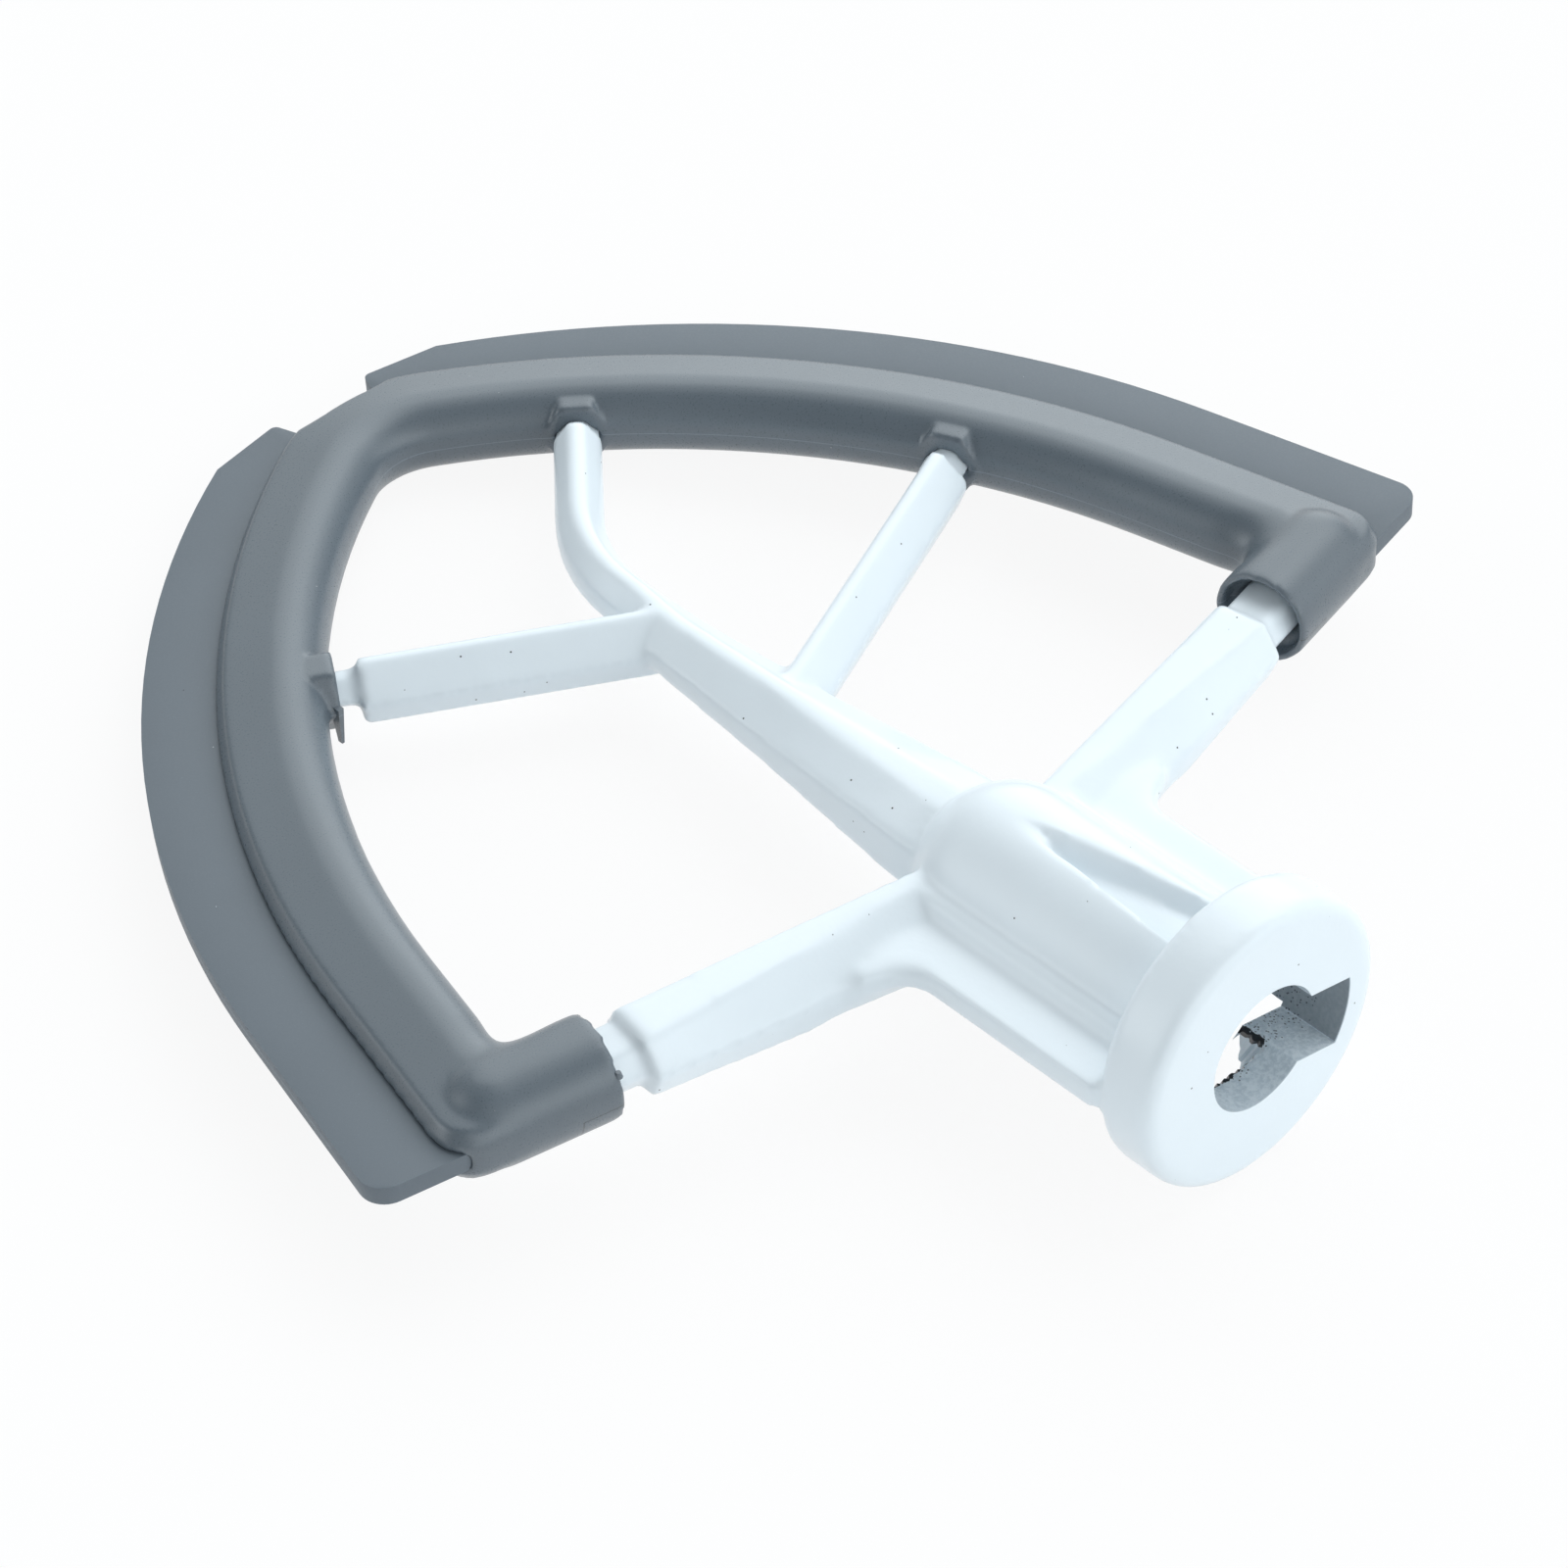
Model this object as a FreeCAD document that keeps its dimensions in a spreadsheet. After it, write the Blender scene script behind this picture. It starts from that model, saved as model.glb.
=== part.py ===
import FreeCAD, Part
import math
import os
import Sketcher

# Flat beater of a stand mixer: a white coated casting, a grey frame moulded over the
# casting's outer loop, and two soft wiper blades seated in the frame.
# Millimetres. +Y runs along the beater from the drive collar's face to the tip, +Z is up
# from the plane that the frame lies in, and the origin is the centre of the collar's face.

doc = FreeCAD.newDocument("flat_beater")

# Driving dimensions
SIZES = {
    # drive collar and barrel
    "collar_radius": 15.46,
    "collar_length": 6.76,
    "rim_bevel": 1.2,
    "rim_corner": 0.35,
    "back_bevel": 0.9,
    "barrel_radius": 9.5,
    "barrel_length": 33.0,
    # drive bore with the slot for the shaft's cross pin
    "bore_radius": 6.75,
    "bore_depth": 31.0,
    "pin_slot_reach": 11.68,
    "pin_slot_half": 3.8,
    "pin_slot_turn": 13.2,
    "pin_slot_depth": 16.0,
    # locking windows, one on each side of the barrel
    "window_left": 2.8,
    "window_floor": 0.2,
    "window_right": 9.0,
    "window_end": 31.5,
    "window_end_left": 0.9,
    "window_end_floor": 9.3,
    "window_end_right": 1.9,
    "window_lid": 2.5,
    # thick block and thin webs beside the barrel
    "block_half": 10.3,
    "block_rise": 3.5,
    "block_foot": 1.8,
    "block_edge": 0.9,
    "web_half": 15.85,
    "web_rise": 1.43,
    "web_corner": 5.0,
    "web_corner_y": 31.7,
    "web_overlap": 1.5,
    # two arms: fuller towards the hub than towards the tip, and fuller below than above
    "arm_root_y": 35.5,
    "arm_root_top": 0.4,
    "arm_root_hub_side": 6.8,
    "arm_root_hub_foot": 7.9,
    "arm_root_tip_side": 1.0,
    "arm_root_tip_foot": 1.2,
    "arm_root_rise": 3.8,
    "arm_end_x": 41.5,
    "arm_end_y": 41.5,
    "arm_end_top": 2.6,
    "arm_end_hub_side": 4.83,
    "arm_end_hub_foot": 3.3,
    "arm_end_tip_side": 4.9,
    "arm_end_tip_foot": 3.4,
    "arm_end_rise": 3.55,
    "arm_end_tilt": 9.5,
    # necks between the arms and the frame's sleeves
    "neck_top": 2.2,
    "neck_side": 3.65,
    "neck_rise": 2.6,
    "neck_overlap": 18.0,
    # centre line of the frame
    "tip_reach": 130.1,
    "tip_radius": 11.5,
    "shoulder_angle": 58.2,
    "side_radius": 100.6,
    "side_angle": 12.25,
    "leg_length": 20.0,
    "loop_bar_half": 2.1,
    # section of the frame
    "tube_radius": 4.3,
    "flat_start": 10.0,
    "edge_reach": 5.9,
    "edge_rise": 3.05,
    "wall_reach": 6.8,
    "wall_rise": 1.6,
    "crest_cut": 2.0,
    # sleeves at the frame's ends
    "sleeve_radius": 5.3,
    "sleeve_length": 11.26,
    "sleeve_mouth": 4.5,
    "sleeve_mouth_depth": 2.2,
    "corner_radius": 4.3,
    "corner_proud": 0.12,
    "corner_overlap": 1.2,
    # bosses where the ribs enter the frame
    "boss_top": 1.8,
    "boss_side": 4.0,
    "boss_rise": 3.7,
    "boss_reach": 4.6,
    "left_boss_reach": 5.6,
    "tenon_top": 0.8,
    "tenon_side": 2.6,
    "tenon_rise": 1.8,
    # ribs
    "rib_top": 0.5,
    "rib_hub_side": 3.6,
    "rib_hub_foot": 2.3,
    "rib_tip_side": 2.3,
    "rib_tip_foot": 1.4,
    "rib_rise": 3.5,
    "right_rib_angle": 23.4,
    "right_rib_root_y": 66.0,
    "right_rib_end": 42.0,
    "right_rib_tenon": 6.5,
    "left_rib_angle": 31.0,
    "left_rib_root_y": 84.6,
    "left_rib_end": 30.7,
    "left_rib_tenon": 7.8,
    # spine, straight part
    "spine_root_y": 43.1,
    "spine_root_x": 0.2,
    "spine_root_side": 6.4,
    "spine_root_wall": 2.8,
    "spine_root_rise": 4.7,
    "spine_root_top": 1.6,
    "spine_mid_y": 65.0,
    "spine_mid_x": 0.4,
    "spine_mid_side": 4.75,
    "spine_mid_wall": 1.5,
    "spine_mid_rise": 4.2,
    "spine_neck_y": 82.0,
    "spine_neck_x": 0.6,
    "spine_neck_side": 3.6,
    "spine_thin_side": 2.6,
    "spine_thin_wall": 1.1,
    "spine_thin_rise": 3.5,
    "spine_thin_top": 0.7,
    "spine_inset": 7.0,
    "spine_sink": 1.0,
    # spine, bend towards its boss
    "spine_bend_y": 89.8,
    "spine_bend_x": 1.55,
    "spine_bend_radius": 22.4,
    "spine_end_angle": 50.0,
    "spine_end_length": 13.3,
    "spine_tenon": 6.0,
    # wiper blades
    "blade_thick": 2.1,
    "blade_reach": 14.6,
    "blade_bend": 21.6,
    "blade_radius": 106.0,
    "blade_bevel_x": 15.2,
    "blade_tip_x": 6.2,
    "blade_tip_y": 139.5,
    "blade_tip_round": 0.8,
    "blade_heel": 4.4,
    "blade_heel_round": 2.75,
    "blade_root": 5.0,
}


def make_sheet():
    sheet = doc.addObject("Spreadsheet::Sheet", "dims")
    for row, (alias, value) in enumerate(SIZES.items(), start=1):
        sheet.set("A%d" % row, alias.replace("_", " "))
        sheet.set("B%d" % row, str(value))
        sheet.setAlias("B%d" % row, alias)
    doc.recompute()
    return sheet


SHEET = make_sheet()


class Size:
    """A length or angle: its number now, and the expression on the sheet that it stands for."""

    def __init__(self, number, text):
        self.number = number
        self.text = text

    def __add__(self, other):
        other = size_of(other)
        return Size(self.number + other.number, "(%s + %s)" % (self.text, other.text))

    def __sub__(self, other):
        other = size_of(other)
        return Size(self.number - other.number, "(%s - %s)" % (self.text, other.text))

    def __mul__(self, other):
        other = size_of(other)
        return Size(self.number * other.number, "(%s * %s)" % (self.text, other.text))

    def __truediv__(self, other):
        other = size_of(other)
        return Size(self.number / other.number, "(%s / %s)" % (self.text, other.text))

    def __neg__(self):
        return Size(-self.number, "(-1 * %s)" % self.text)


def size_of(value):
    if isinstance(value, Size):
        return value
    return Size(value, repr(value))


def dim(alias):
    return Size(float(SHEET.get(alias)), "dims.%s" % alias)


def cosine(angle):
    return Size(math.cos(math.radians(angle.number)), "cos(%s)" % angle.text)


def sine(angle):
    return Size(math.sin(math.radians(angle.number)), "sin(%s)" % angle.text)


def leg(longest, other):
    """The third side of a right-angled triangle."""
    return Size(math.sqrt(longest.number ** 2 - other.number ** 2),
                "sqrt((%s)^2 - (%s)^2)" % (longest.text, other.text))


ZERO = size_of(0.0)

# how near an edge lies to the place at which it is looked for
NEAR = 0.05


def along(point, angle, length):
    """The point at a length from a point, in the direction of an angle from +X."""
    return (point[0] + length * cosine(angle), point[1] + length * sine(angle))


# Bodies, sketches and features

def new_body(name):
    return doc.addObject("PartDesign::Body", name)


def plane_of(body, role):
    return [item for item in body.Origin.OriginFeatures if item.Role == role][0]


def place(thing, centre=None, angle=None, height=ZERO):
    """Attach to the XY plane at a height, or upright at a centre with its normal at an angle."""
    body = thing.getParentGeoFeatureGroup()
    role = "XY_Plane" if centre is None else "YZ_Plane"
    thing.AttachmentSupport = (plane_of(body, role), [""])
    thing.MapMode = "FlatFace"
    if centre is None:
        thing.setExpression("AttachmentOffset.Base.z", height.text)
        return
    turn = FreeCAD.Rotation(FreeCAD.Vector(0, 1, 0), angle.number)
    thing.AttachmentOffset = FreeCAD.Placement(FreeCAD.Vector(0, 0, 0), turn)
    thing.setExpression("AttachmentOffset.Base.x", centre[1].text)
    thing.setExpression("AttachmentOffset.Base.z", centre[0].text)
    thing.setExpression("AttachmentOffset.Rotation.Angle", "(%s) * 1 deg" % angle.text)


def bind(sketch, constraint, size):
    index = sketch.addConstraint(constraint)
    sketch.setExpression("Constraints[%d]" % index, size.text)


def pin_point(sketch, edge, end, point):
    bind(sketch, Sketcher.Constraint("DistanceX", -1, 1, edge, end, point[0].number), point[0])
    bind(sketch, Sketcher.Constraint("DistanceY", -1, 1, edge, end, point[1].number), point[1])


def vector(point):
    return FreeCAD.Vector(point[0].number, point[1].number, 0)


def arc_centre(start, end, radius):
    """Centre of the arc that turns left from start to end."""
    chord = end - start
    middle = (start + end) * 0.5
    rise = math.sqrt(max(radius * radius - chord.Length ** 2 / 4, 0.0))
    left = FreeCAD.Vector(-chord.y, chord.x, 0).normalize()
    return middle + left * rise


def draw(sketch, points, arcs=None, closed=True):
    """Lines through the points; arcs maps a step's index to its radius, turning left."""
    arcs = arcs or {}
    count = len(points)
    steps = count if closed else count - 1
    first = sketch.GeometryCount
    for step in range(steps):
        start = vector(points[step])
        end = vector(points[(step + 1) % count])
        if step not in arcs:
            sketch.addGeometry(Part.LineSegment(start, end))
            continue
        centre = arc_centre(start, end, arcs[step].number)
        circle = Part.Circle(centre, FreeCAD.Vector(0, 0, 1), arcs[step].number)
        angles = [math.atan2(p.y - centre.y, p.x - centre.x) for p in (start, end)]
        if angles[1] < angles[0]:
            angles[1] += 2 * math.pi
        sketch.addGeometry(Part.ArcOfCircle(circle, angles[0], angles[1]))
    for step in range(steps):
        edge = first + step
        pin_point(sketch, edge, 1, points[step])
        if step + 1 < steps:
            sketch.addConstraint(Sketcher.Constraint("Coincident", edge, 2, edge + 1, 1))
        elif closed:
            sketch.addConstraint(Sketcher.Constraint("Coincident", edge, 2, first, 1))
        else:
            pin_point(sketch, edge, 2, points[-1])
        if step in arcs:
            bind(sketch, Sketcher.Constraint("Radius", edge, arcs[step].number), arcs[step])
    return sketch


def new_sketch(body, name, centre=None, angle=None, height=ZERO):
    sketch = body.newObject("Sketcher::SketchObject", name)
    place(sketch, centre, angle, height)
    return sketch


def circle_sketch(body, name, radius, centre=None, angle=None, middle=(ZERO, ZERO)):
    sketch = new_sketch(body, name, centre, angle)
    circle = Part.Circle(vector(middle), FreeCAD.Vector(0, 0, 1), radius.number)
    edge = sketch.addGeometry(circle)
    pin_point(sketch, edge, 3, middle)
    bind(sketch, Sketcher.Constraint("Radius", edge, radius.number), radius)
    return sketch


def bar_section(body, name, centre, angle, top, side, rise, wall=None):
    """Section of a cast bar: flat top and bottom, sloping flanks, an edge or wall at mid height."""
    sketch = new_sketch(body, name, centre, angle)
    points = [(-top, -rise), (top, -rise)]
    points += [(side, ZERO)] if wall is None else [(side, -wall), (side, wall)]
    points += [(top, rise), (-top, rise)]
    points += [(-side, ZERO)] if wall is None else [(-side, wall), (-side, -wall)]
    return draw(sketch, points)


def lopsided_section(body, name, centre, angle, prefix, side):
    """Section of an arm or rib: sloping flanks above, steep ones below, an edge between them."""
    def size(word):
        return dim("%s_%s" % (prefix, word))
    sketch = new_sketch(body, name, centre, angle)
    top, rise = size("top"), size("rise")
    points = [(-size("hub_foot"), -rise), (size("tip_foot"), -rise), (size("tip_side"), ZERO),
              (top, rise), (-top, rise), (-size("hub_side"), ZERO)]
    return draw(sketch, [flip(point, side) for point in points])


def pad(body, name, sketch, length, symmetric=False, reverse=False):
    feature = body.newObject("PartDesign::Pad", name)
    feature.Profile = sketch
    feature.setExpression("Length", length.text)
    feature.Midplane = symmetric
    feature.Reversed = reverse
    return feature


def loft(body, name, sections, kind="PartDesign::AdditiveLoft", ruled=True):
    feature = body.newObject(kind, name)
    feature.Profile = sections[0]
    feature.Sections = sections[1:]
    feature.Ruled = ruled
    return feature


def pipe(body, name, section, path):
    feature = body.newObject("PartDesign::AdditivePipe", name)
    feature.Profile = section
    feature.Spine = (path, ["Edge%d" % (i + 1) for i in range(path.GeometryCount)])
    return feature


def ball(body, name, radius, centre):
    feature = body.newObject("PartDesign::AdditiveSphere", name)
    feature.AttachmentSupport = (plane_of(body, "XY_Plane"), [""])
    feature.MapMode = "FlatFace"
    feature.setExpression("AttachmentOffset.Base.x", centre[0].text)
    feature.setExpression("AttachmentOffset.Base.y", centre[1].text)
    feature.setExpression("Radius", radius.text)
    return feature


def edge_names(shape, test):
    return ["Edge%d" % (i + 1) for i, edge in enumerate(shape.Edges) if test(edge)]


def fillet(body, name, test, radius):
    """Round the edges of the body's present shape that pass the test."""
    doc.recompute()
    base = body.Tip
    feature = body.newObject("PartDesign::Fillet", name)
    feature.Base = (base, edge_names(base.Shape, test))
    feature.setExpression("Radius", radius.text)
    return feature


# Centre line of the frame: leg, side arc, tip arc, side arc, leg

UPRIGHT = size_of(90.0)
HALF_TURN = size_of(180.0)
SIDE_ANGLE = dim("side_angle")
SHOULDER = dim("shoulder_angle")
TIP_CENTRE = (ZERO, dim("tip_reach") - dim("tip_radius"))
SIDE_CENTRE = along(TIP_CENTRE, SHOULDER, dim("tip_radius") - dim("side_radius"))
SHOULDER_POINT = along(SIDE_CENTRE, SHOULDER, dim("side_radius"))
LEG_TOP = along(SIDE_CENTRE, SIDE_ANGLE, dim("side_radius"))
ELBOW = along(LEG_TOP, SIDE_ANGLE - UPRIGHT, dim("leg_length"))


def flip(point, side):
    return (point[0] * side, point[1])


def turned(angle, side):
    """An angle from +X, or its mirror image about the Y axis."""
    return angle if side > 0 else HALF_TURN - angle


def loop_path(body, start=None):
    sketch = new_sketch(body, body.Name + "_path")
    half = [start or ELBOW, LEG_TOP, SHOULDER_POINT]
    points = half + [flip(point, -1) for point in reversed(half)]
    side = dim("side_radius")
    return draw(sketch, points, {1: side, 2: dim("tip_radius"), 3: side}, closed=False)


# Casting

def collar_and_barrel(body):
    profile = new_sketch(body, "hub_profile")
    collar = dim("collar_radius")
    barrel = dim("barrel_radius")
    back = dim("collar_length")
    dome = dim("barrel_length")
    rim = dim("rim_bevel")
    corner = dim("rim_corner")
    slope = dim("back_bevel")
    points = [(ZERO, ZERO), (collar - rim, ZERO), (collar - corner, corner), (collar, rim),
              (collar, back - slope), (collar - slope, back), (barrel, back), (barrel, dome),
              (ZERO, dome + barrel)]
    draw(profile, points, {7: barrel})
    hub = body.newObject("PartDesign::Revolution", "hub")
    hub.Profile = profile
    hub.ReferenceAxis = (profile, ["V_Axis"])
    hub.Angle = 360


def block_and_webs(body):
    block = dim("block_half")
    web = dim("web_half")
    top = dim("arm_root_y")
    start = dim("collar_length")
    corner = [(-block, start), (block, start), (block, top), (-block, top)]
    pad(body, "block", draw(new_sketch(body, "block_outline"), corner),
        dim("block_rise") * 2, symmetric=True)
    outline = [(-web, start), (web, start), (web, top), (-web, top)]
    pad(body, "webs", draw(new_sketch(body, "web_outline"), outline),
        dim("web_rise") * 2, symmetric=True)

    def along_block(height):
        def test(edge):
            box = edge.BoundBox
            level = abs(abs(edge.CenterOfMass.z) - height.number) < NEAR
            return level and box.XLength < NEAR and abs(abs(box.XMax) - block.number) < NEAR
        return test
    fillet(body, "block_feet", along_block(dim("web_rise")), dim("block_foot"))
    fillet(body, "block_edges", along_block(dim("block_rise")), dim("block_edge"))


def web_corner(body, side):
    """Fills the corner between a web and its arm with a hollow curve."""
    name = "right" if side > 0 else "left"
    web = dim("web_half")
    radius = dim("web_corner")
    meet = dim("web_corner_y")
    inside = meet + dim("web_overlap")
    points = [(web + radius, meet), (web, meet - radius), (web, inside), (web + radius, inside)]
    arcs = {0: radius}
    if side < 0:
        points = [flip(point, -1) for point in (points[1], points[0], points[3], points[2])]
    sketch = draw(new_sketch(body, name + "_web_corner_outline"), points, arcs)
    pad(body, name + "_web_corner", sketch, dim("web_rise") * 2, symmetric=True)


def arm(body, side):
    name = "right" if side > 0 else "left"
    tilt = dim("arm_end_tilt")
    root = lopsided_section(body, name + "_arm_root", (ZERO, dim("arm_root_y")),
                            turned(ZERO, side), "arm_root", side)
    tip = flip((dim("arm_end_x"), dim("arm_end_y")), side)
    end = lopsided_section(body, name + "_arm_end", tip, turned(tilt, side), "arm_end", side)
    loft(body, name + "_arm", [root, end])
    neck = bar_section(body, name + "_neck_section", flip(ELBOW, side), turned(SIDE_ANGLE, side),
                       dim("neck_top"), dim("neck_side"), dim("neck_rise"))
    pad(body, name + "_neck", neck, dim("neck_overlap"), reverse=True)


def rib(body, name, side, root_y, angle, length, tenon):
    heading = turned(angle, side)
    root = (ZERO, root_y)
    end = along(root, heading, length)
    first = lopsided_section(body, name + "_root", root, heading, "rib", side)
    last = lopsided_section(body, name + "_end", end, heading, "rib", side)
    loft(body, name, [first, last])
    section = bar_section(body, name + "_tenon_section", end, heading, dim("tenon_top"),
                          dim("tenon_side"), dim("tenon_rise"))
    pad(body, name + "_tenon", section, tenon)


BEND_START = (dim("spine_bend_x"), dim("spine_bend_y"))
BEND_CENTRE = (BEND_START[0] + dim("spine_bend_radius"), BEND_START[1])
END_ANGLE = dim("spine_end_angle")
BEND_END = along(BEND_CENTRE, END_ANGLE + UPRIGHT, dim("spine_bend_radius"))
SPINE_END = along(BEND_END, END_ANGLE, dim("spine_end_length"))


def spine(body):
    """A keel that narrows from the hub, then a slim bar that bends over to its boss."""
    thin = (dim("spine_thin_top"), dim("spine_thin_side"), dim("spine_thin_rise"),
            dim("spine_thin_wall"))
    root = bar_section(body, "spine_root", (dim("spine_root_x"), dim("spine_root_y")), UPRIGHT,
                       dim("spine_root_top"), dim("spine_root_side"), dim("spine_root_rise"),
                       dim("spine_root_wall"))
    middle = bar_section(body, "spine_middle", (dim("spine_mid_x"), dim("spine_mid_y")), UPRIGHT,
                         dim("spine_thin_top"), dim("spine_mid_side"), dim("spine_mid_rise"),
                         dim("spine_mid_wall"))
    neck = bar_section(body, "spine_neck", (dim("spine_neck_x"), dim("spine_neck_y")), UPRIGHT,
                       dim("spine_thin_top"), dim("spine_neck_side"), dim("spine_thin_rise"),
                       dim("spine_thin_wall"))
    start = bar_section(body, "spine_bend_start", BEND_START, UPRIGHT, *thin)
    loft(body, "spine_keel", [root, middle, neck, start])
    bend = new_sketch(body, "spine_bend_path")
    draw(bend, [SPINE_END, BEND_END, BEND_START], {1: dim("spine_bend_radius")}, closed=False)
    section = bar_section(body, "spine_end_section", SPINE_END, END_ANGLE, *thin)
    pipe(body, "spine_bend", section, bend)
    tenon = bar_section(body, "spine_tenon_section", SPINE_END, END_ANGLE, dim("tenon_top"),
                        dim("tenon_side"), dim("tenon_rise"))
    pad(body, "spine_tenon", tenon, dim("spine_tenon"))
    inset = dim("spine_inset")
    heel = bar_section(body, "spine_heel_section",
                       (dim("spine_root_x"), dim("spine_root_y") - inset), UPRIGHT,
                       dim("spine_root_top"), dim("spine_root_side"), dim("web_rise") * 2)
    pad(body, "spine_heel", heel, inset + dim("spine_sink"))


def drive_socket(body):
    """Round bore with a slot for the shaft's cross pin, and a locking window on each side."""
    bore = circle_sketch(body, "bore_section", dim("bore_radius"), (ZERO, ZERO), UPRIGHT)
    cut = body.newObject("PartDesign::Pocket", "bore")
    cut.Profile = bore
    cut.setExpression("Length", dim("bore_depth").text)
    cut.Reversed = True
    slot = new_sketch(body, "pin_slot_section", (ZERO, ZERO), UPRIGHT)
    half = dim("pin_slot_half")
    reach = dim("pin_slot_reach")
    # in the section's own frame -X points to the object's +X
    heading = HALF_TURN + dim("pin_slot_turn")
    inner = [along((ZERO, ZERO), heading + UPRIGHT * way, half) for way in (1, -1)]
    outer = [along(point, heading, leg(reach, half)) for point in reversed(inner)]
    draw(slot, outer + inner, {0: reach})
    groove = body.newObject("PartDesign::Pocket", "pin_slot")
    groove.Profile = slot
    groove.setExpression("Length", dim("pin_slot_depth").text)
    groove.Reversed = True
    for name, way in (("top_window", 1), ("bottom_window", -1)):
        window(body, name, way)


def window(body, name, way):
    """A wedge cut with one upright wall and one sloping wall, closing towards the dome."""
    lid = dim("barrel_radius") + dim("window_lid")
    sections = []
    spans = (("start", dim("collar_length"), dim("window_left"), dim("window_floor"),
              dim("window_right")),
             ("end", dim("window_end"), dim("window_end_left"), dim("window_end_floor"),
              dim("window_end_right")))
    for label, level, left, floor, right in spans:
        sketch = new_sketch(body, "%s_%s" % (name, label), (ZERO, level), UPRIGHT)
        # in the section's own frame -X points to the object's +X
        points = [(left * way, floor * way), (left * way, lid * way), (-right * way, lid * way)]
        sections.append(draw(sketch, points))
    loft(body, name, sections, kind="PartDesign::SubtractiveLoft")


def casting():
    body = new_body("casting")
    collar_and_barrel(body)
    block_and_webs(body)
    for side in (1, -1):
        arm(body, side)
        web_corner(body, side)
    spine(body)
    rib(body, "right_rib", 1, dim("right_rib_root_y"), dim("right_rib_angle"),
        dim("right_rib_end"), dim("right_rib_tenon"))
    rib(body, "left_rib", -1, dim("left_rib_root_y"), dim("left_rib_angle"),
        dim("left_rib_end"), dim("left_rib_tenon"))
    half = dim("loop_bar_half")
    bar = draw(new_sketch(body, "loop_bar_section", ELBOW, SIDE_ANGLE + UPRIGHT),
               [(-half, -half), (half, -half), (half, half), (-half, half)])
    pipe(body, "loop_bar", bar, loop_path(body))
    drive_socket(body)
    return body


# Frame moulded over the casting's loop

# the corner's turning centre, outward from the elbow and below it
CORNER_OUT = dim("wall_reach") - dim("corner_radius")
CORNER_DOWN = (leg(dim("sleeve_radius"), dim("wall_rise")) + dim("corner_proud")
               - dim("corner_radius"))
DOWN = SIDE_ANGLE - UPRIGHT
TUBE_END = along(ELBOW, DOWN, CORNER_DOWN)


def outer_side(inset):
    """The tube's outer side, from its upper edge down to its lower one."""
    edge = (inset - dim("edge_reach"), dim("edge_rise"))
    wall = (inset - dim("wall_reach"), dim("wall_rise"))
    return [edge, wall, (wall[0], -wall[1]), (edge[0], -edge[1])]


def corner(body, side):
    """The tube's outer side turned through a quarter, and on into the sleeve's lower side."""
    name = "right" if side > 0 else "left"
    centre = flip(along(TUBE_END, SIDE_ANGLE, CORNER_OUT), side)
    fall = (dim("tube_radius") - dim("edge_rise")) * CORNER_OUT / dim("edge_reach")
    rise = dim("tube_radius") - fall
    points = [(ZERO, rise)] + outer_side(CORNER_OUT) + [(ZERO, -rise)]
    first = -SIDE_ANGLE if side < 0 else SIDE_ANGLE
    start = new_sketch(body, name + "_corner_start", centre, first + UPRIGHT * side)
    draw(start, points)
    turn = body.newObject("PartDesign::Revolution", name + "_corner")
    turn.Profile = start
    turn.ReferenceAxis = (start, ["V_Axis"])
    turn.Angle = 90
    turn.Reversed = side > 0
    end = new_sketch(body, name + "_corner_end", centre, first)
    draw(end, points)
    pad(body, name + "_corner_run", end, CORNER_OUT + dim("corner_overlap"), reverse=side > 0)


def sleeve(body, side):
    """Round sleeve over the neck, with a domed outer end and a hollow mouth."""
    name = "right" if side > 0 else "left"
    radius = dim("sleeve_radius")
    mouth = along(ELBOW, SIDE_ANGLE, -dim("sleeve_length"))
    points = [mouth, along(mouth, DOWN, radius), along(ELBOW, DOWN, radius),
              along(ELBOW, SIDE_ANGLE, radius)]
    arcs = {2: radius}
    if side < 0:
        points = [flip(point, -1) for point in (points[3], points[2], points[1], points[0])]
        arcs = {0: radius}
    outline = draw(new_sketch(body, name + "_sleeve_outline"), points, arcs)
    turn = body.newObject("PartDesign::Revolution", name + "_sleeve")
    turn.Profile = outline
    turn.ReferenceAxis = (outline, ["Edge4"])
    turn.Angle = 360


def sleeve_mouth(body, side):
    name = "right" if side > 0 else "left"
    mouth = flip(along(ELBOW, SIDE_ANGLE, -dim("sleeve_length")), side)
    section = circle_sketch(body, name + "_mouth_section", dim("sleeve_mouth"), mouth,
                            turned(SIDE_ANGLE, side))
    hollow = body.newObject("PartDesign::Pocket", name + "_mouth")
    hollow.Profile = section
    hollow.setExpression("Length", dim("sleeve_mouth_depth").text)
    hollow.Reversed = True


def tube_outline(body, name, centre, angle):
    """Round on the inner side, with flats that slope to an edge and a wall on the outer side."""
    sketch = new_sketch(body, name, centre, angle)
    radius = dim("tube_radius")
    outer = outer_side(ZERO)
    shoulder = UPRIGHT + dim("flat_start")
    low = along((ZERO, ZERO), -shoulder, radius)
    high = along((ZERO, ZERO), shoulder, radius)
    return draw(sketch, [high] + outer + [low, (radius, ZERO)], {5: radius, 6: radius})


def boss(body, name, root, heading, length, reach):
    """Six-sided boss on the tube's inner side, in line with its rib."""
    sizes = (dim("boss_top"), dim("boss_side"), dim("boss_rise"))
    inner = along(root, heading, length - reach)
    section = bar_section(body, name + "_section", inner, heading, *sizes)
    pad(body, name, section, reach)


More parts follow.
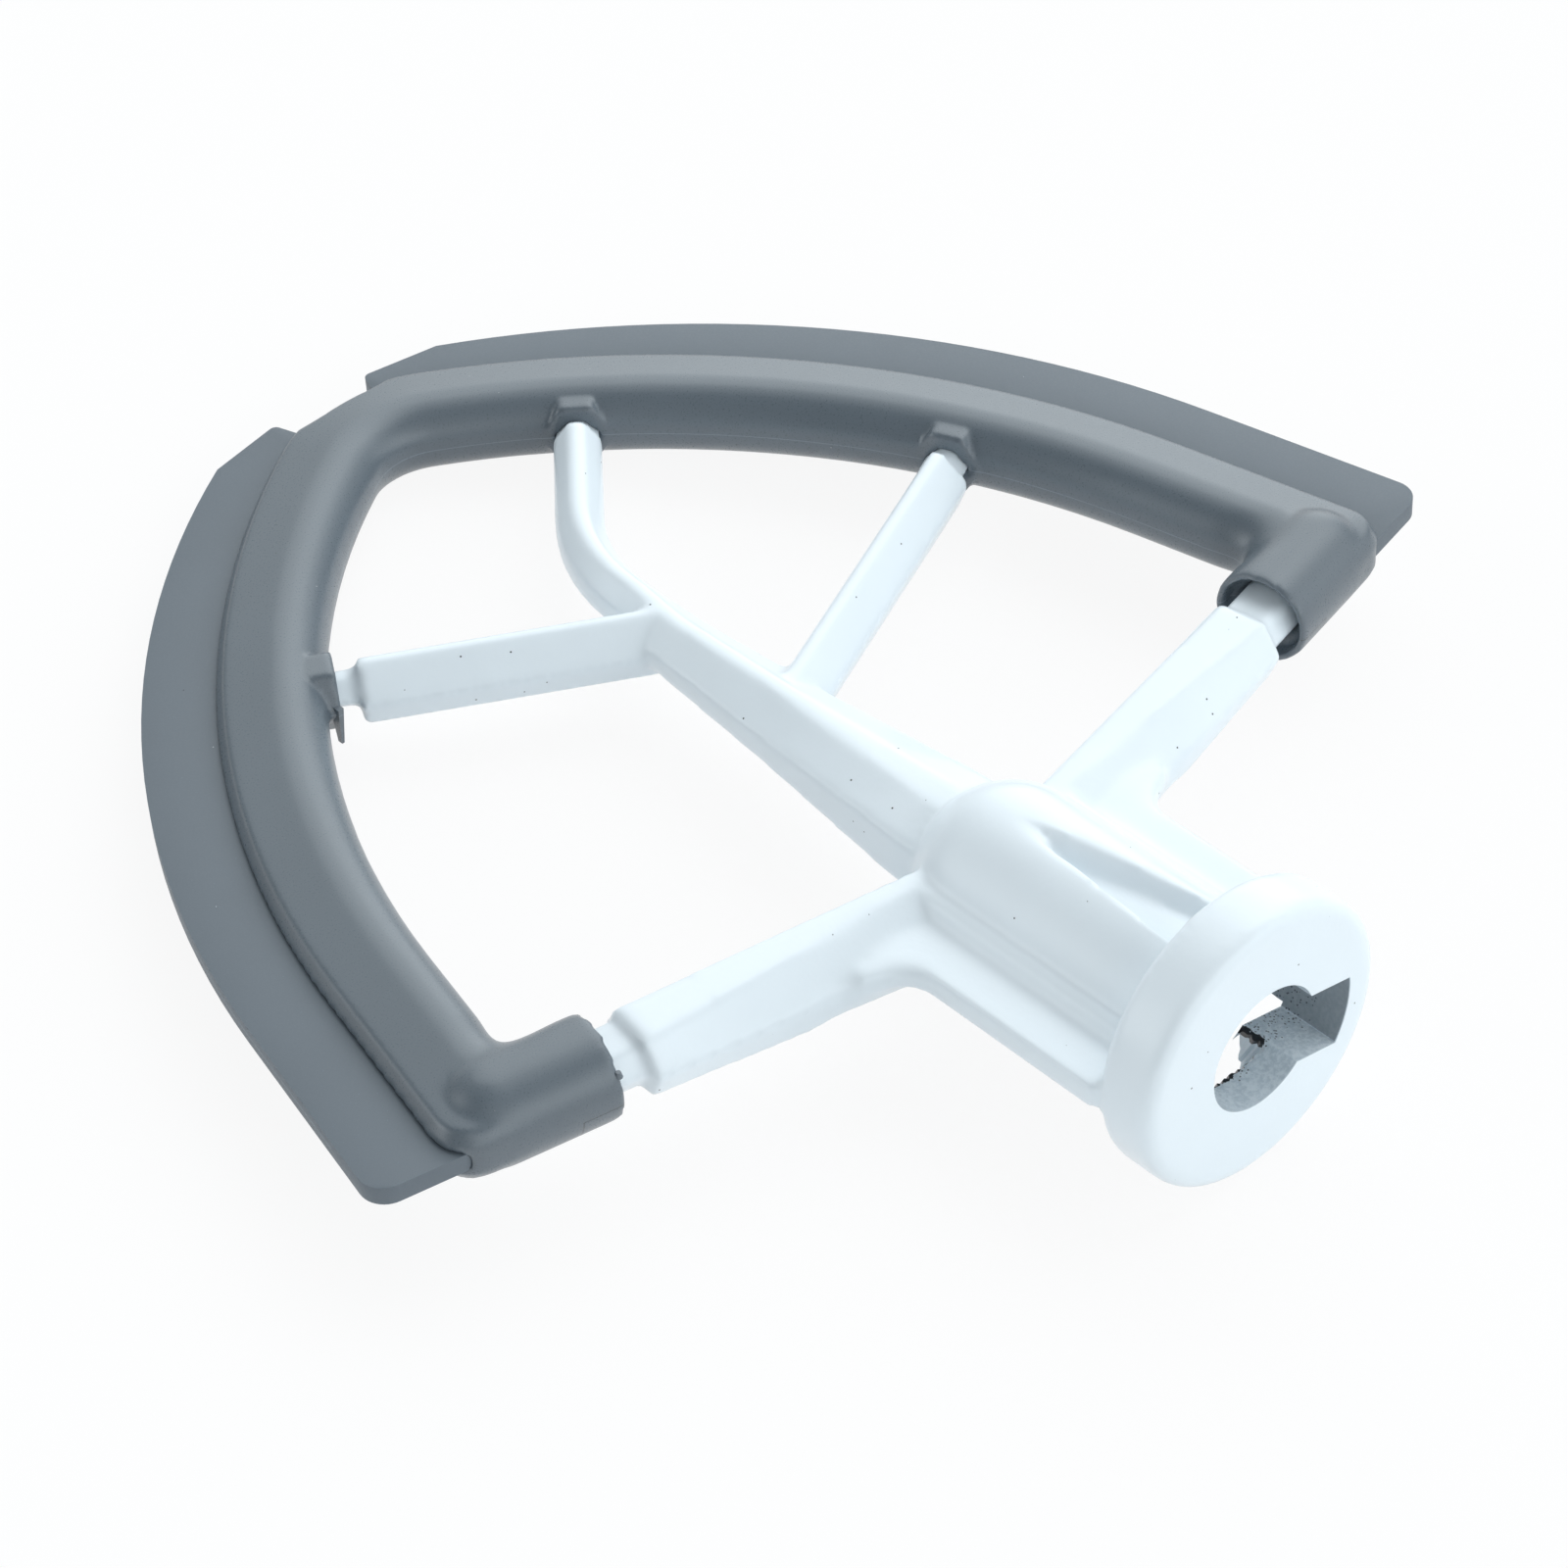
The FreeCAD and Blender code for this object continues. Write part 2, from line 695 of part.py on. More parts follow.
def square_crest(body):
    """Squares the tube's crest off at the tip, where the two blades leave a gap."""
    low = dim("tip_reach") + dim("wall_reach") - dim("crest_cut")
    high = dim("tip_reach") + dim("wall_reach") * 2
    half = dim("tip_radius") + dim("wall_reach")
    sketch = draw(new_sketch(body, "crest_outline"),
                  [(-half, low), (half, low), (half, high), (-half, high)])
    feature = body.newObject("PartDesign::Pocket", "crest_flat")
    feature.Profile = sketch
    feature.setExpression("Length", (dim("tube_radius") * 4).text)
    feature.Midplane = True


def frame_blank():
    body = new_body("frame_blank")
    section = tube_outline(body, "tube_section", TUBE_END, SIDE_ANGLE + UPRIGHT)
    pipe(body, "tube", section, loop_path(body, TUBE_END))
    square_crest(body)
    for side in (1, -1):
        sleeve(body, side)
        corner(body, side)
    for side in (1, -1):
        sleeve_mouth(body, side)
    right = dim("right_rib_end") + dim("right_rib_tenon")
    left = dim("left_rib_end") + dim("left_rib_tenon")
    reach = dim("boss_reach")
    boss(body, "right_boss", (ZERO, dim("right_rib_root_y")), dim("right_rib_angle"), right,
         reach)
    boss(body, "left_boss", (ZERO, dim("left_rib_root_y")), turned(dim("left_rib_angle"), -1),
         left, dim("left_boss_reach"))
    boss(body, "spine_boss", SPINE_END, END_ANGLE, dim("spine_tenon"), reach)
    return body


# Wiper blades

# the blade's inner outline follows the tube's centre line at these shares of its side arc
WAIST_SHARES = (1.0, 0.67, 0.33, 0.0)


def root_tool():
    """The core of the frame that the blades' roots stop at."""
    body = new_body("root_core")
    section = circle_sketch(body, "root_section", dim("blade_root"), ELBOW,
                            SIDE_ANGLE + UPRIGHT)
    pipe(body, "root_pipe", section, loop_path(body))
    for side, name in ((1, "right"), (-1, "left")):
        ball(body, name + "_root_ball", dim("blade_root"), flip(ELBOW, side))
    return body


def blade(side):
    """Flat blade: straight beside the leg, then one arc, a bevel and a blunt end at the tip."""
    name = "right" if side > 0 else "left"
    body = new_body(name + "_blade")
    down = SIDE_ANGLE - UPRIGHT
    heel = along(ELBOW, down, dim("blade_heel"))
    heel_corner = along(heel, SIDE_ANGLE, dim("blade_reach"))
    bend = along(heel_corner, down, -(dim("blade_bend") + dim("blade_heel")))
    centre = along(bend, SIDE_ANGLE, -dim("blade_radius"))
    radius = dim("blade_radius")
    bevel_x = dim("blade_bevel_x")
    bevel = (bevel_x, centre[1] + leg(radius, bevel_x - centre[0]))
    tip = (dim("blade_tip_x"), dim("blade_tip_y"))
    shoulder = SHOULDER - SIDE_ANGLE
    waist = [along(SIDE_CENTRE, SIDE_ANGLE + shoulder * share, dim("side_radius"))
             for share in WAIST_SHARES]
    tip_root = (tip[0] / 2, dim("tip_reach"))
    outline = [heel, heel_corner, bend, bevel, tip, tip_root] + waist
    sketch = new_sketch(body, name + "_blade_outline")
    if side > 0:
        draw(sketch, outline, {2: radius})
    else:
        mirrored = [flip(point, -1) for point in reversed(outline)]
        draw(sketch, mirrored, {len(outline) - 4: radius})
    pad(body, name + "_blade_plate", sketch, dim("blade_thick"), symmetric=True)

    def upright_at(x, y):
        def test(edge):
            middle = edge.CenterOfMass
            off = math.hypot(middle.x - side * x.number, middle.y - y.number)
            return abs(middle.z) < NEAR and off < NEAR
        return test
    fillet(body, name + "_heel_round", upright_at(*heel_corner), dim("blade_heel_round"))
    fillet(body, name + "_tip_round", upright_at(*tip), dim("blade_tip_round"))
    return body


def cut(name, base, tool):
    feature = doc.addObject("Part::Cut", name)
    feature.Base = base
    feature.Tool = tool
    return feature


def main():
    core = casting()
    blank = frame_blank()
    roots = root_tool()
    left = cut("left_wiper", blade(-1), roots)
    right = cut("right_wiper", blade(1), roots)
    frame = cut("edge_frame", cut("frame_less_left", cut("frame_over_core", blank, core), left),
                right)
    core.Label = "cast_core"
    check_and_write([core, frame, left, right])


def check_and_write(nodes):
    doc.recompute()
    for item in doc.Objects:
        if "Invalid" in item.State or "Error" in item.State:
            raise RuntimeError("%s failed: %s" % (item.Name, item.State))
    os.makedirs("parts", exist_ok=True)
    for node in nodes:
        shape = node.Shape
        if shape.isNull() or not shape.isValid():
            raise RuntimeError("%s has no valid shape" % node.Label)
        print(node.Label, "solids", len(shape.Solids), "volume %.1f" % shape.Volume,
              "faces", len(shape.Faces))
        shape.exportStep("parts/%s.step" % node.Label)


main()
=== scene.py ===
import math

import bmesh
import bpy
import numpy as np
from bpy.props import FloatProperty, FloatVectorProperty, IntProperty, PointerProperty
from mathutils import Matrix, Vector


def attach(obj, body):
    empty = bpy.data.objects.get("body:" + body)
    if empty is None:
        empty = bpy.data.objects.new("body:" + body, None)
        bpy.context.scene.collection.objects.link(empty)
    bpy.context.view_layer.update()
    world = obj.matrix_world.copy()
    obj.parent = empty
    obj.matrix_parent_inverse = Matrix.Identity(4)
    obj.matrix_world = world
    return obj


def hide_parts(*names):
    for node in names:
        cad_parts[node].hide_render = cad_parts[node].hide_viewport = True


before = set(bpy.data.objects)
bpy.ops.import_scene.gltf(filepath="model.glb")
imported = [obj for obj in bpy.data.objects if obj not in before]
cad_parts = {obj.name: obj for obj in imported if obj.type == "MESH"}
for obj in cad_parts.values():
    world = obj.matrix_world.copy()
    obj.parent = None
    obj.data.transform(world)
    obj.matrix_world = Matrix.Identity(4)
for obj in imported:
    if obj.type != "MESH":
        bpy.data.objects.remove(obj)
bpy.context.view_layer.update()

bl_info = {
    "name": "Flat Beater",
    "version": (1, 0, 0),
    "blender": (4, 5, 0),
    "location": "3D View > Sidebar > Beater",
    "description": "Dresses the flat beater of a stand mixer and sets its stage",
    "category": "Object",
}

MM = 0.001

# Places on the beater that both its shapes and its finishes use, in metres
BORE_RADIUS = 6.75 * MM
SLOT_HALF = 3.8 * MM
SLOT_REACH = 11.68 * MM
SLOT_TURN = math.radians(-13.2)
SLOT_DEPTH = 16.0 * MM
BORE_DEPTH = 31.0 * MM
COLLAR_LENGTH = 6.76 * MM
WINDOW_END = 31.5 * MM
TIP_CENTRE = (0.0, 118.6 * MM)
TIP_RADIUS = 11.5 * MM
SHOULDER = math.radians(58.2)
SIDE_CENTRE = (-46.952 * MM, 42.875 * MM)
SIDE_RADIUS = 100.6 * MM
SIDE_ANGLE = math.radians(12.25)
ELBOW = (55.602 * MM, 44.676 * MM)
BOSSES = ((42.0 * MM, 84.2 * MM), (-29.4 * MM, 102.3 * MM), (17.6 * MM, 117.1 * MM))

# Colours that no setting holds
PINHOLE_COLOUR = (0.02, 0.02, 0.025, 1.0)
TORN_COLOUR = (0.012, 0.012, 0.014, 1.0)
SPECKLE_COLOUR = (0.06, 0.065, 0.07, 1.0)
# The socket's uncoated grey-blue, painted somewhat darker as painted shade inside the
# bore
SOCKET_BARE_AND_SHADE = ((0.6, 0.68, 0.74, 1.0), (0.78, 0.85, 0.9, 1.0))
# Painted shade for the slot's walls away from the light
SLOT_PAINTED_SHADE = (0.16, 0.18, 0.2, 1.0)
PALE_DUST = (0.6, 0.62, 0.64, 1.0)
DARK_DUST = (0.03, 0.03, 0.035, 1.0)
PAPER_COLOUR = (0.9, 0.91, 0.92, 1.0)
LIGHT_TINT = (0.92, 0.975, 1.0, 1.0)
WHITE = (1.0, 1.0, 1.0, 1.0)


# Settings that a user would change

class CoatingSettings(bpy.types.PropertyGroup):
    """The casting's coating and rounding"""
    colour: FloatVectorProperty(
        name="Coating colour", description="Colour of the white coating on the casting",
        default=(0.83, 0.895, 0.94), subtype="COLOR", size=3, min=0.0, max=1.0)
    gloss: FloatProperty(
        name="Roughness", description="Roughness of the coating between its pinholes",
        default=0.3, min=0.0, max=1.0, subtype="FACTOR")
    pinhole: FloatProperty(
        name="Pinhole size", description="Radius of the small dark holes in the coating",
        default=0.0001, min=0.0, max=0.001, unit="LENGTH", subtype="DISTANCE")
    voxel: FloatProperty(
        name="Grain of the mesh",
        description="Size of the faces that round the casting's edges",
        default=0.00045, min=0.0003, max=0.002, unit="LENGTH", subtype="DISTANCE")
    rounds: IntProperty(
        name="Rounding",
        description="How far the casting's edges and corners are rounded",
        default=6, min=0, max=60)


class FrameSettings(bpy.types.PropertyGroup):
    """The moulded frame's colour and grain"""
    colour: FloatVectorProperty(
        name="Frame colour", description="Colour of the moulded frame",
        default=(0.118, 0.143, 0.167), subtype="COLOR", size=3, min=0.0, max=1.0)
    grain: FloatProperty(
        name="Grain", description="Width of the fine mould grain",
        default=0.0002, min=0.00005, max=0.002, unit="LENGTH", subtype="DISTANCE")
    voxel: FloatProperty(
        name="Grain of the mesh",
        description="Size of the faces that round the frame's edges",
        default=0.00042, min=0.0003, max=0.002, unit="LENGTH", subtype="DISTANCE")
    elbow_rounds: IntProperty(
        name="Elbow fillet", description="How far the frame's inner corners are filled",
        default=70, min=0, max=200)


class WiperSettings(bpy.types.PropertyGroup):
    """The wiper blades' colour"""
    colour: FloatVectorProperty(
        name="Wiper colour", description="Colour of the soft wiper blades",
        default=(0.118, 0.144, 0.17), subtype="COLOR", size=3, min=0.0, max=1.0)


class StageSettings(bpy.types.PropertyGroup):
    """The room's light and the floor's shadow"""
    light: FloatProperty(
        name="Light", description="Strength of all the soft lights of the room",
        default=0.86, min=0.0, max=5.0)
    shadow: FloatProperty(
        name="Shadow", description="How much of the floor's shading the camera sees",
        default=0.1, min=0.0, max=1.0, subtype="FACTOR")


# Shader maths

class Sock:
    """A node's output that Python's operators work on."""

    def __init__(self, tree, socket):
        self.tree = tree
        self.socket = socket

    def maths(self, operation, *others):
        """One maths node with this value first."""
        return self.tree.maths(operation, self, *others)

    def __add__(self, other):
        return self.maths("ADD", other)

    __radd__ = __add__

    def __sub__(self, other):
        return self.maths("SUBTRACT", other)

    def __rsub__(self, other):
        return self.tree.maths("SUBTRACT", other, self)

    def __mul__(self, other):
        return self.maths("MULTIPLY", other)

    __rmul__ = __mul__

    def __truediv__(self, other):
        return self.maths("DIVIDE", other)

    def __pow__(self, other):
        return self.maths("POWER", other)

    def __lt__(self, other):
        return self.maths("LESS_THAN", other)

    def __gt__(self, other):
        return self.maths("GREATER_THAN", other)

    def __abs__(self):
        return self.maths("ABSOLUTE")

    def within(self, middle, half):
        """1 where the value is less than half from the middle."""
        return abs(self - middle) < half

    def either(self, other):
        """The larger of two values: one mask or the other."""
        return self.maths("MAXIMUM", other)


class Tree:
    """The nodes of one material or world, made one call at a time."""

    def __init__(self, owner):
        owner.use_nodes = True
        self.nodes = owner.node_tree.nodes
        self.links = owner.node_tree.links
        self.nodes.clear()

    def node(self, kind, settings=None, inputs=(), out=0):
        """Makes a node by its type, settings and inputs, and gives one of its outputs.

        Inputs and the output go by their names or numbers.
        """
        made = self.nodes.new(kind)
        for key, value in (settings or {}).items():
            setattr(made, key, value)
        pairs = inputs.items() if isinstance(inputs, dict) else enumerate(inputs)
        for key, value in pairs:
            if isinstance(value, Sock):
                self.links.new(value.socket, made.inputs[key])
            else:
                made.inputs[key].default_value = value
        return Sock(self, made.outputs[out])

    def maths(self, operation, *values):
        """One maths node."""
        return self.node("ShaderNodeMath", {"operation": operation}, values)

    def place(self):
        """Object coordinates in metres."""
        return self.node("ShaderNodeTexCoord", out="Object")

    def axes(self):
        """X, Y and Z of the place."""
        return [self.node("ShaderNodeSeparateXYZ", None, [self.place()], out=axis)
                for axis in "XYZ"]

    def dots(self, cell, radius, chance):
        """1 on round dots of a radius, one in some of the cells of a width."""
        cells = {"Vector": self.place(), "Scale": 1.0 / cell}
        distance = self.node("ShaderNodeTexVoronoi", None, cells, out="Distance")
        pick = self.node("ShaderNodeTexVoronoi", None, cells, out="Color")
        drawn = self.node("ShaderNodeSeparateColor", None, [pick], out="Red")
        return (distance * cell < radius) * (drawn < chance)

    def noise(self, width, detail=2.0, roughness=0.5):
        """Noise of a width in metres, about 0.5."""
        return self.node("ShaderNodeTexNoise", None, {
            "Vector": self.place(), "Scale": 1.0 / width, "Detail": detail,
            "Roughness": roughness})

    def ramp(self, value, low, high, bottom=0.0, top=1.0):
        """Smooth step from bottom to top while the value goes from low to high."""
        share = self.node("ShaderNodeClamp", None, [(value - low) / (high - low)])
        return share * share * (3.0 - 2.0 * share) * (top - bottom) + bottom

    def blend(self, factor, first, second):
        """Colours mixed by a factor."""
        # Several of this node's sockets share a name, so they go by their numbers
        return self.node("ShaderNodeMix", {"data_type": "RGBA"},
                         {0: factor, 6: first, 7: second}, out=2)

    def bump(self, height, depth):
        """A normal from a height of 0 to 1 that stands for a depth in metres."""
        return self.node("ShaderNodeBump", None, {"Height": height, "Distance": depth})

    def finish(self, settings):
        """Ends a material with the one surface shader."""
        self.show(self.node("ShaderNodeBsdfPrincipled", None, settings))

    def show(self, shader, output="ShaderNodeOutputMaterial"):
        """Links a shader to the output."""
        made = self.nodes.new(output)
        self.links.new(shader.socket, made.inputs["Surface"])


# Materials

def colour_of(values, gain=1.0):
    """A setting's colour, lighter or darker, as a socket takes it."""
    return tuple(value * gain for value in values) + (1.0,)


def socket_masks(x, y, z):
    """Masks of the drive socket's inside and of the slot's walls away from the light,
    which get painted shade, and the radius.

    The socket's uncoated walls are told from the coated outside by their distance from
    the drive axis, in the bore, and along and across the slot's heading, in the slot.
    """
    squares = x * x + z * z
    radius = squares.maths("SQRT")
    cosine, sine = math.cos(SLOT_TURN), math.sin(SLOT_TURN)
    reach = x * cosine + z * sine
    aside = z * cosine - x * sine
    bore = (radius < BORE_RADIUS + 0.12 * MM) * (y < BORE_DEPTH + 0.1 * MM)
    slot = (abs(aside) < SLOT_HALF + 0.06 * MM) * (reach > 0.0) * (
        reach < SLOT_REACH + 0.1 * MM) * (y < SLOT_DEPTH + 0.1 * MM)
    inside = bore.either(slot) * (y > 0.12 * MM)
    # The lit part of the slot; the rest of its walls get painted shade
    lit = x.tree.ramp(reach, 8.5 * MM, 11.5 * MM, 0.85, 0.35).either(aside < -3.7 * MM)
    return inside, slot * (1.0 - lit) * (radius > BORE_RADIUS), radius


def torn_mask(x, y, z, radius, wander):
    """Mask of the torn opening's broken rim, low on the bore's wall."""
    front_y, side_x = 4.5 * MM, 4.3 * MM
    front = (y + wander).within(front_y, 0.42 * MM) * (x < 4.7 * MM)
    side = (x + wander).within(side_x, 0.36 * MM) * (y > 4.2 * MM) * (y < 7.0 * MM)
    low_wall = (z < -4.4 * MM) * (radius < BORE_RADIUS + 0.5 * MM) * (y > 3.8 * MM)
    return front.either(side) * low_wall


def coating_material():
    """Satin white coating with pinholes.

    The socket is uncoated grey-blue, painted somewhat darker as painted shade inside the
    bore, with dark speckles, painted shade on the slot's walls away from the light, and
    black at the torn opening's rim.
    """
    prefs = bpy.context.scene.beater_coating
    material = bpy.data.materials.new("white_coating")
    tree = Tree(material)
    x, y, z = tree.axes()
    cloud = tree.noise(9 * MM, detail=3.0)
    peel = tree.noise(0.7 * MM)
    rough = tree.noise(0.5 * MM, detail=3.0, roughness=0.6)
    hole = tree.dots(2.0 * MM, prefs.pinhole, chance=0.28)
    inside, shaded, radius = socket_masks(x, y, z)
    wander = (rough - 0.5) * (1.2 * MM)
    torn = torn_mask(x, y, z, radius, wander)
    # The speckles come in patches that grow with the depth in the socket
    patches = tree.noise(1.6 * MM, detail=1.0) + y * 140.0 > 1.02
    speckle = tree.dots(0.32 * MM, 0.1 * MM, chance=0.6) * patches
    # Uncoated grey-blue mottle, painted somewhat darker as painted shade inside the bore
    bare_and_shade = tree.blend(tree.ramp(rough, 0.35, 0.65), *SOCKET_BARE_AND_SHADE)
    # Painted shade on the slot's walls away from the light
    bare_and_shade = tree.blend(shaded, bare_and_shade, SLOT_PAINTED_SHADE)
    bare_and_shade = tree.blend(speckle * 0.85, bare_and_shade, SPECKLE_COLOUR)
    tone = tree.blend(cloud, colour_of(prefs.colour, 0.97), colour_of(prefs.colour, 1.02))
    tone = tree.blend(hole, tone, PINHOLE_COLOUR)
    tone = tree.blend(inside, tone, bare_and_shade)
    tone = tree.blend(torn, tone, TORN_COLOUR)
    relief = peel * 0.4 - hole + rough * inside
    tree.finish({
        "Base Color": tone,
        "Roughness": tree.ramp(cloud, 0.3, 0.7, prefs.gloss - 0.015, prefs.gloss + 0.06),
        "Coat Weight": 0.25,
        "Coat Roughness": 0.12,
        "Normal": tree.bump(relief, 0.03 * MM),
    })
    return material


def moulded_material(name, colour, rough, grain):
    """Matt moulded plastic or rubber: fine grain, a painted highlight, light and dark
    specks.

    The painted highlight is a lighter line where the mould line's ridge catches the
    light, round the inner side at mid height, and a seam frames the lower hub side of
    each sleeve.
    """
    material = bpy.data.materials.new(name)
    tree = Tree(material)
    x, y, z = tree.axes()
    cloud = tree.noise(11 * MM, detail=3.0)
    fine = tree.noise(grain, detail=3.0, roughness=0.6)
    cosine, sine = math.cos(SIDE_ANGLE), math.sin(SIDE_ANGLE)
    right, up = abs(x) - ELBOW[0], y - ELBOW[1]
    run = right * cosine + up * sine
    over = up * cosine - right * sine
    seam_half, seam_level, seam_run = 0.06 * MM, -0.7 * MM, -6.7 * MM
    along = z.within(seam_level, seam_half) * (run < seam_run + 0.1 * MM)
    down = run.within(seam_run, seam_half) * (z < seam_level)
    seam = along.either(down) * (over < 0.0) * (y < 60 * MM)
    # Painted highlight: a thin lighter line along the mould line at mid height, on the
    # inner side
    parting_highlight = z.within(0.0, 0.05 * MM) * (over > 4.0 * MM)
    tone = tree.blend(cloud, colour_of(colour, 0.93), colour_of(colour, 1.06))
    for mask, shade in (
            (tree.ramp(fine, 0.62, 0.78), colour_of(colour, 1.3)),
            (parting_highlight, colour_of(colour, 1.7)),
            (seam, colour_of(colour, 0.35)),
            (tree.dots(2.4 * MM, 0.06 * MM, chance=0.3), PALE_DUST),
            (tree.dots(3.1 * MM, 0.08 * MM, chance=0.25), DARK_DUST)):
        tone = tree.blend(mask, tone, shade)
    tree.finish({
        "Base Color": tone,
        "Roughness": tree.ramp(fine, 0.3, 0.7, rough - 0.05, rough + 0.06),
        "IOR": 1.62,
        "Normal": tree.bump(fine - seam, 0.007 * MM),
    })
    return material


def wear(piece, material):
    """Gives a piece its one material."""
    piece.data.materials.clear()
    piece.data.materials.append(material)


# Rounded pieces

def joined_copy(node):
    """A new mesh from a solid's mesh, with its loose triangles joined."""
    joined = bmesh.new()
    joined.from_mesh(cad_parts[node].data)
    bmesh.ops.remove_doubles(joined, verts=joined.verts, dist=0.001 * MM)
    mesh = bpy.data.meshes.new(node + "_joined")
    joined.to_mesh(mesh)
    joined.free()
    return mesh


def stand_in(node, name, mesh):
    """Puts a mesh in the place of a solid, as a piece of its own."""
    piece = loose_object(name, mesh)
    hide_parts(node)
    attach(piece, "root")
    return piece


def closed_bar(first, last):
    """Points and faces of a closed bar between two rings of as many points, in 3D."""
    count = len(first)
    here = np.arange(count)
    turn = np.roll(here, -1)
    walls = np.column_stack((here, here + count, turn + count, turn))
    faces = [tuple(range(count)), tuple(range(2 * count - 1, count - 1, -1))]
    return np.concatenate((first, last)), walls.tolist() + faces


def prism(outline, start, end, last=None):
    """A closed bar along Y, from an outline in X and Z to a last one, or all of one."""
    ends = ((outline, start), (outline if last is None else last, end))
    rings = [np.insert(np.asarray(ring), 1, y, axis=1) for ring, y in ends]
    return closed_bar(*rings)


def level_ring(outline, z):
    """An outline in X and Y at one height."""
    return np.column_stack((outline, np.full(len(outline), z)))


def mesh_of(name, shells):
    """One mesh of several closed shells, each given as points and faces."""
    points, faces, offset = [], [], 0
    for shell_points, shell_faces in shells:
        points.append(shell_points)
        faces += [tuple(index + offset for index in face) for face in shell_faces]
        offset += len(shell_points)
    mesh = bpy.data.meshes.new(name)
    mesh.from_pydata(np.concatenate(points).tolist(), [], faces)
    return mesh


def add_shells(mesh, shells):
    """Adds closed shells to a mesh."""
    joined = bmesh.new()
    joined.from_mesh(mesh)
    joined.from_mesh(mesh_of("shells", shells))
    joined.to_mesh(mesh)
    joined.free()


def loose_object(name, mesh):
    """An object of the scene that holds a mesh."""
    made = bpy.data.objects.new(name, mesh)
    bpy.context.scene.collection.objects.link(made)
    return made


def finished_mesh(carrier):
    """The mesh that an object's modifiers make; the object itself is thrown away."""
    graph = bpy.context.evaluated_depsgraph_get()
    mesh = bpy.data.meshes.new_from_object(carrier.evaluated_get(graph))
    bpy.data.objects.remove(carrier)
    return mesh


def fine_mesh(node, voxel, extra=()):
    """The solid's skin and extra closed shells, joined and made of small even faces."""
    mesh = joined_copy(node)
    if extra:
        add_shells(mesh, extra)
    carrier = loose_object(node + "_carrier", mesh)
    remesh = carrier.modifiers.new("even", "REMESH")
    remesh.mode = "VOXEL"
    remesh.voxel_size = voxel
    skin = loose_object(node + "_skin", mesh)
    onto = carrier.modifiers.new("onto_skin", "SHRINKWRAP")
    onto.wrap_method = "NEAREST_SURFACEPOINT"
    onto.target = skin
    fine = finished_mesh(carrier)
    bpy.data.objects.remove(skin)
    return fine


def read_points(mesh):
    """The mesh's points, one in each row."""
    flat = np.empty(len(mesh.vertices) * 3)
    mesh.vertices.foreach_get("co", flat)
    return flat.reshape(-1, 3)


def read_pairs(mesh):
    """The two ends of each of the mesh's edges."""
    flat = np.empty(len(mesh.edges) * 2, dtype=np.int32)
    mesh.edges.foreach_get("vertices", flat)
    return flat.reshape(-1, 2)


# Share of the way to its neighbours' mean that an unheld point moves in one round
FREE = 0.5


def relax(points, pairs, share, rounds):
    """Moves every point towards the mean of its neighbours by its share, in each round.

    Edges and inner corners turn round, by about the faces' size times the root of the
    rounds times the share.
    """
    ends = np.concatenate((pairs[:, 0], pairs[:, 1]))
    others = np.concatenate((pairs[:, 1], pairs[:, 0]))
    count = len(points)
    degree = np.bincount(ends, minlength=count)
    for _ in range(rounds):
        sums = [np.bincount(ends, weights=points[others, axis], minlength=count)
                for axis in range(3)]
        means = np.stack(sums, axis=1) / degree[:, None]
        points = points + share[:, None] * (means - points)
    return points


def fade(distance, inner, outer):
    """1 up to the inner distance, 0 beyond the outer one and a smooth slope between."""
    t = np.clip((outer - distance) / (outer - inner), 0.0, 1.0)
    return t * t * (3.0 - 2.0 * t)


def shade_smooth(mesh):
    """Smooth shading on all faces."""
    mesh.polygons.foreach_set("use_smooth", np.ones(len(mesh.polygons), dtype=bool))


def write_points(mesh, points):
    """Moves the mesh's points, and shades it smooth."""
    mesh.vertices.foreach_set("co", points.ravel())
    shade_smooth(mesh)
    mesh.update()


def arc_points(radius, turns):
    """Points at a radius, one for each turn."""
    return np.column_stack((np.cos(turns), np.sin(turns))) * radius


def circle(radius, count):
    """Even points on a circle."""
    return arc_points(radius, np.linspace(0.0, 2.0 * math.pi, count, endpoint=False))


def slot_outline(reach, half):
    """The pin slot's section: two walls along its heading, closed by an arc."""
    spread = math.asin(half / reach)
    arc = SLOT_TURN + np.linspace(-spread, spread, 17)
    heading = np.array((math.cos(SLOT_TURN), math.sin(SLOT_TURN)))
    aside = np.array((-heading[1], heading[0])) * half
    return np.vstack((-aside, arc_points(reach, arc), aside))


def socket_shells(start, grow):
    """The drive bore and its pin slot as closed bars, grown all round by a little."""
    bore = prism(circle(BORE_RADIUS + grow, 96), start, BORE_DEPTH + grow)
    slot = slot_outline(SLOT_REACH + grow, SLOT_HALF + grow)
    return [bore, prism(slot, start, SLOT_DEPTH + grow)]


def window_floor():
    """Half a tube over the drive bore, which the upper locking window is cut down to."""
    wall = 0.6 * MM
    half_turn = np.linspace(0.0, math.pi, 49)
    return prism(arc_points(BORE_RADIUS + wall, half_turn), 5.8 * MM, WINDOW_END)


def lower_window():
    """The lower locking window: a wedge that closes towards the dome."""
    first = np.array(((2.8, -0.2), (-9.0, -12.0), (2.8, -12.0))) * MM
    last = np.array(((0.9, -9.3), (-1.9, -12.0), (0.9, -12.0))) * MM
    return prism(first, COLLAR_LENGTH, WINDOW_END, last)


def slot_outlet():
    """Behind the collar the pin slot's lower wall is open to the outside."""
    outline = np.array(
        ((2.2, -12.9), (12.7, -12.9), (12.7, -6.4), (6.6, -4.9), (2.2, -3.8)))
    return prism(outline * MM, 6.93 * MM, 12.6 * MM)


